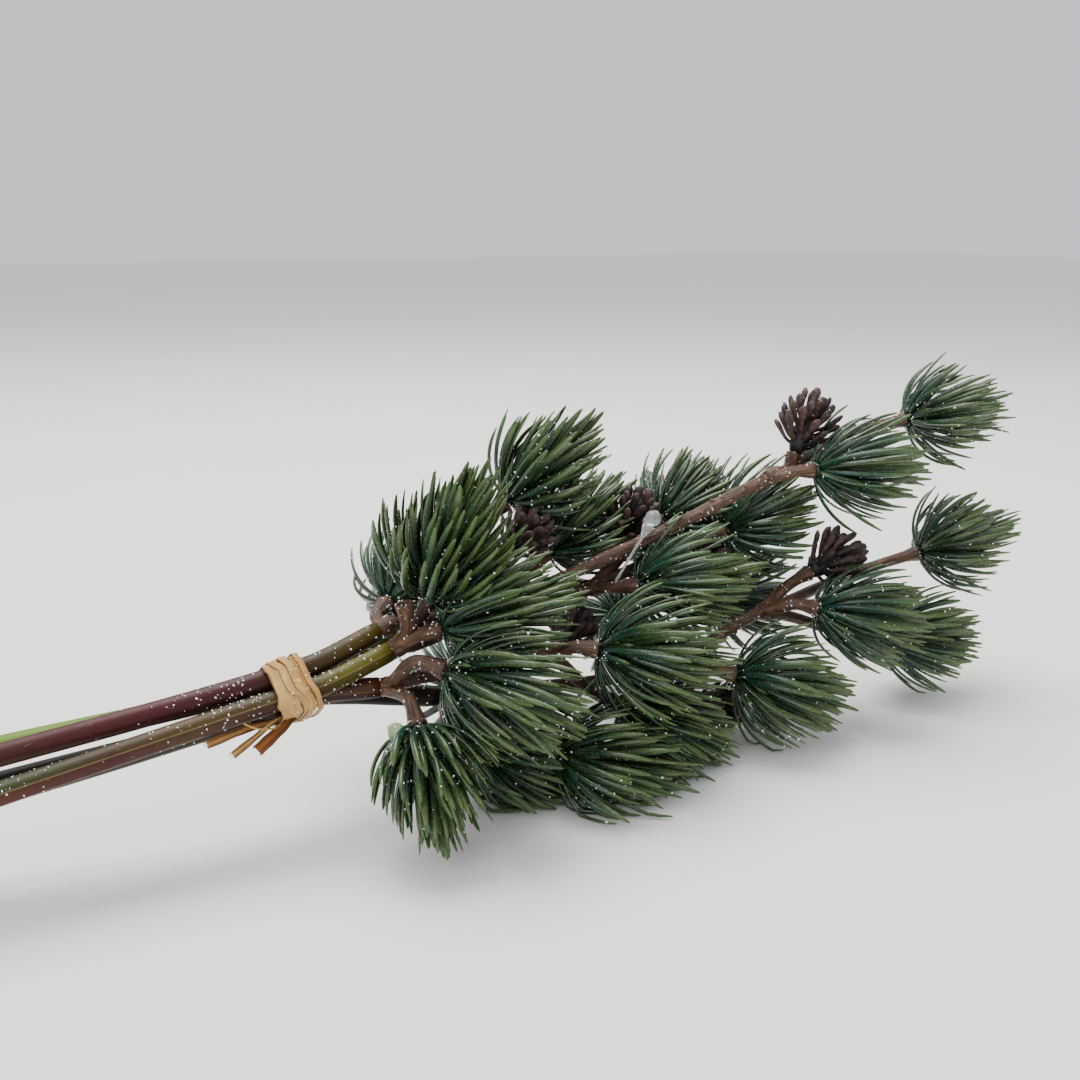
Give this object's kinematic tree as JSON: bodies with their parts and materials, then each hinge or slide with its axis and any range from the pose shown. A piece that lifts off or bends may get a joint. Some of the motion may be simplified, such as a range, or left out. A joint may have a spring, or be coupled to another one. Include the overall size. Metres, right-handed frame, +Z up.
{
  "type": "artificial pine branch bundle",
  "caption": "Frosted artificial pine branches with needle tufts and small cones on forked twigs, lying in a bundle held by a raffia tie near the cut stem ends.",
  "frame": {"origin": "middle of the bundle's footprint, on the surface it lies on", "axes": "+X along the bundle from the cut stem ends to the farthest tufts, +Z up"},
  "size_m": [0.3548, 0.0978, 0.0942],
  "materials": {
    "needles": "moulded plastic needles, frosted silver and sprinkled with white glitter",
    "twig": "ribbed brown plastic bark with glitter",
    "olive_stem": "smooth, slightly glossy",
    "burgundy_stem": "smooth, slightly glossy",
    "brown_stem": "smooth, slightly glossy",
    "green_stem": "smooth, slightly glossy",
    "dark_stem": "smooth, slightly glossy",
    "cone": "dark purple-brown scales",
    "raffia": "dry natural palm fibre, finely streaked",
    "clear_glue": "clear, glossy hot glue",
    "green_glue": "glossy, greenish translucent hot glue"
  },
  "bodies": {
    "root": {"back_cone_1": "cone", "back_cone_2": "cone", "back_first_fork": "twig", "back_long_twig": "twig", "back_second_fork": "twig", "back_stem": "green_stem", "back_tuft_1": "needles", "back_tuft_2": "needles", "back_tuft_3": "needles", "back_tuft_4": "needles", "back_tuft_5": "needles", "front_cone_1": "cone", "front_first_fork": "twig", "front_long_twig": "twig", "front_second_fork": "twig", "front_stem": "brown_stem", "front_tuft_1": "needles", "front_tuft_2": "needles", "front_tuft_3": "needles", "front_tuft_4": "needles", "glue_bead": "green_glue", "glue_drip": "clear_glue", "lower_cone_1": "cone", "lower_cone_2": "cone", "lower_first_fork": "twig", "lower_long_twig": "twig", "lower_second_fork": "twig", "lower_stem": "dark_stem", "lower_third_fork": "twig", "lower_tuft_1": "needles", "lower_tuft_2": "needles", "lower_tuft_3": "needles", "lower_tuft_4": "needles", "lower_tuft_5": "needles", "lower_tuft_6": "needles", "lower_tuft_7": "needles", "lower_upper_twig": "twig", "middle_cone_1": "cone", "middle_first_fork": "twig", "middle_long_twig": "twig", "middle_second_fork": "twig", "middle_stem": "olive_stem", "middle_tuft_1": "needles", "middle_tuft_2": "needles", "middle_tuft_3": "needles", "middle_tuft_4": "needles", "raffia_tie": "raffia", "top_cone_1": "cone", "top_first_fork": "twig", "top_long_twig": "twig", "top_second_fork": "twig", "top_stem": "burgundy_stem", "top_tuft_1": "needles", "top_tuft_2": "needles", "top_tuft_3": "needles", "top_tuft_4": "needles"}
  },
  "joints": []
}
